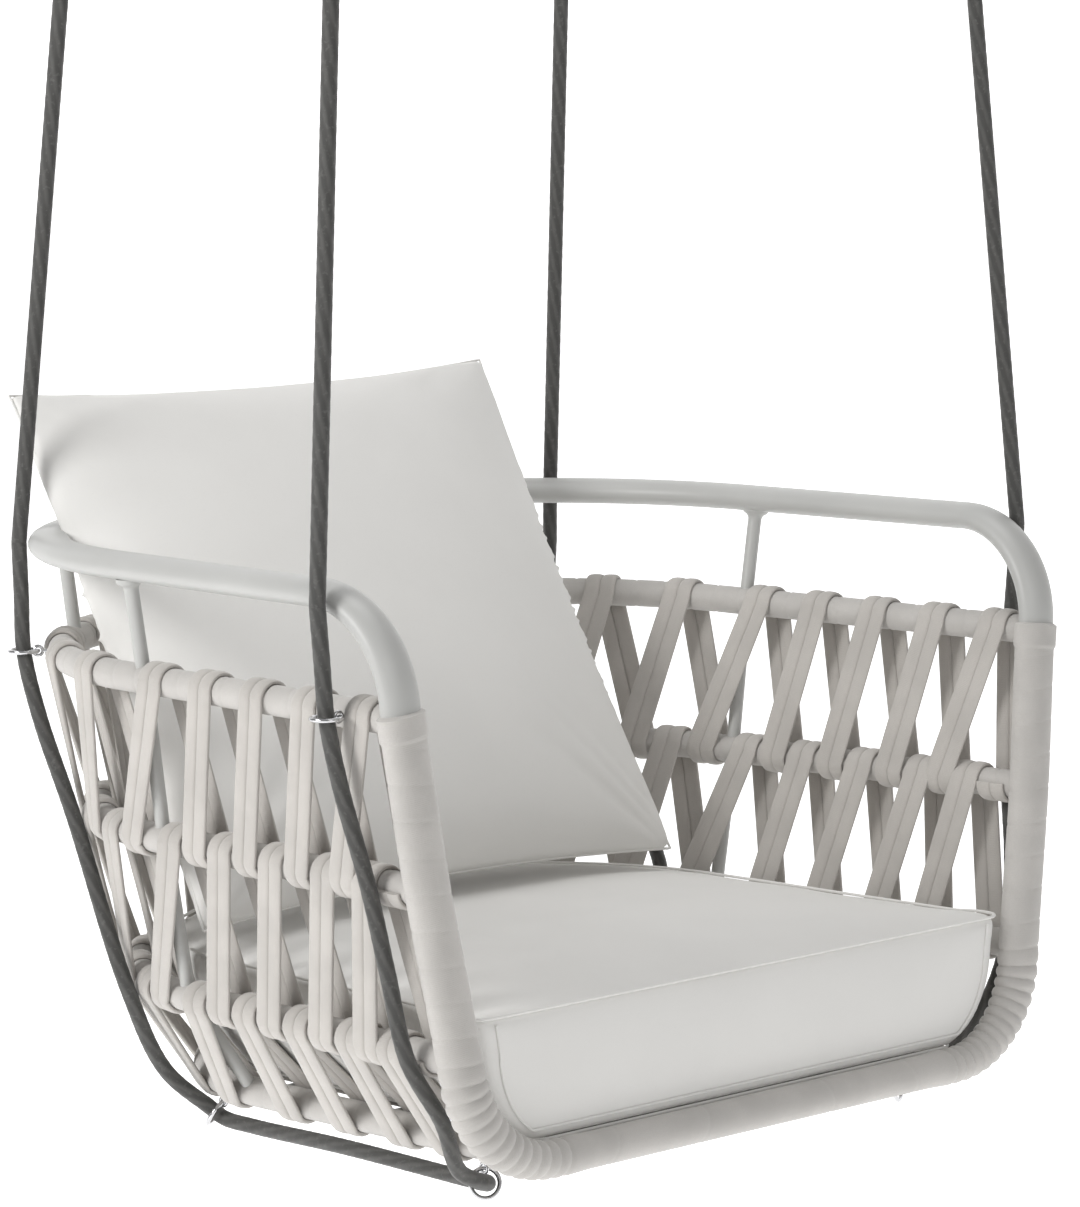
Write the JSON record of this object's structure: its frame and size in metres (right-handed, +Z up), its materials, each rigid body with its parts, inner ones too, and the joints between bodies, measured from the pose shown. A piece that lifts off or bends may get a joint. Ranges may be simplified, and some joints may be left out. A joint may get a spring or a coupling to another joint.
{
  "type": "hanging porch swing",
  "caption": "Single-seat hanging swing: bent tube basket frame with woven padded straps, four suspension ropes in steel rings, box seat cushion and square back pillow.",
  "frame": {"origin": "centre of the ceiling plane that the four plates are screwed to", "axes": "+Z up, -Y towards the front of the seat, +X to the right seen from the front"},
  "size_m": [0.8944, 0.7318, 1.1531],
  "materials": {
    "powder_coat": "satin warm grey powder coat",
    "strap": "matt padded outdoor strap, greige",
    "rope": "matt braided outdoor rope, dark grey",
    "stainless": "polished stainless",
    "cushion": "off-white outdoor weave"
  },
  "bodies": {
    "ceiling": {"ceiling_plate_front_left": "stainless", "ceiling_plate_front_right": "stainless", "ceiling_plate_back_left": "stainless", "ceiling_plate_back_right": "stainless", "plate_screw_front_left_front": "stainless", "plate_screw_front_left_rear": "stainless", "plate_screw_front_right_front": "stainless", "plate_screw_front_right_rear": "stainless", "plate_screw_back_left_front": "stainless", "plate_screw_back_left_rear": "stainless", "plate_screw_back_right_front": "stainless", "plate_screw_back_right_rear": "stainless"},
    "hanger_front_left": {"hanger_link_front_left": "stainless", "rope_terminal_front_left": "stainless", "upper_rope_front_left": "rope"},
    "hanger_front_right": {"hanger_link_front_right": "stainless", "rope_terminal_front_right": "stainless", "upper_rope_front_right": "rope"},
    "hanger_back_left": {"hanger_link_back_left": "stainless", "rope_terminal_back_left": "stainless", "upper_rope_back_left": "rope"},
    "hanger_back_right": {"hanger_link_back_right": "stainless", "rope_terminal_back_right": "stainless", "upper_rope_back_right": "rope"},
    "seat": {"upper_ring_front_left": "stainless", "upper_ring_front_right": "stainless", "upper_ring_back_left": "stainless", "upper_ring_back_right": "stainless", "upper_ring_eye_front_left": "stainless", "upper_ring_eye_front_right": "stainless", "upper_ring_eye_back_left": "stainless", "upper_ring_eye_back_right": "stainless", "base_ring_front_left": "stainless", "base_ring_front_right": "stainless", "base_ring_back_left": "stainless", "base_ring_back_right": "stainless", "base_ring_eye_front_left": "stainless", "base_ring_eye_front_right": "stainless", "base_ring_eye_back_left": "stainless", "base_ring_eye_back_right": "stainless", "lower_rope_left": "rope", "lower_rope_right": "rope", "arm_tube": "powder_coat", "front_base_tube": "powder_coat", "side_post_left": "powder_coat", "side_post_right": "powder_coat", "corner_post_left": "powder_coat", "corner_post_right": "powder_coat", "seat_grid": "powder_coat", "front_wrap": "strap", "upper_rail": "strap", "middle_rail": "strap", "lower_rail": "strap", "base_rail": "strap", "strap_tier_upper": "strap", "strap_tier_middle": "strap", "strap_tier_lower": "strap", "seat_mat": "strap", "seat_cushion": "cushion", "back_pillow": "cushion"}
  },
  "joints": [
    {"name": "front_left_rope_swing", "type": "hinge", "parent": "ceiling", "child": "hanger_front_left", "pos_m": [-0.39147, -0.22351, -0.04], "axis": [1, 0, 0], "range_deg": [-12, 12]},
    {"name": "front_right_rope_swing", "type": "hinge", "parent": "ceiling", "child": "hanger_front_right", "pos_m": [0.39147, -0.22351, -0.04], "axis": [1, 0, 0], "range_deg": [-12.2, 12.2]},
    {"name": "back_left_rope_swing", "type": "hinge", "parent": "ceiling", "child": "hanger_back_left", "pos_m": [-0.30858, 0.22386, -0.04], "axis": [1, 0, 0], "range_deg": [-12.2, 12.2]},
    {"name": "back_right_rope_swing", "type": "hinge", "parent": "ceiling", "child": "hanger_back_right", "pos_m": [0.30858, 0.22386, -0.04], "axis": [1, 0, 0], "range_deg": [-12.2, 12.2]},
    {"name": "seat_rope_hinge", "type": "hinge", "parent": "hanger_front_left", "child": "seat", "pos_m": [-0.4402, -0.247, -0.62713], "axis": [1, 0, 0], "range_deg": [-10.5, 10.5]}
  ],
  "couplings": [
    {"joint": "front_right_rope_swing", "follows": "front_left_rope_swing", "ratio": 1},
    {"joint": "back_left_rope_swing", "follows": "front_left_rope_swing", "ratio": 1.0106},
    {"joint": "back_right_rope_swing", "follows": "front_left_rope_swing", "ratio": 1.0106},
    {"joint": "seat_rope_hinge", "follows": "front_left_rope_swing", "ratio": -0.8519}
  ]
}
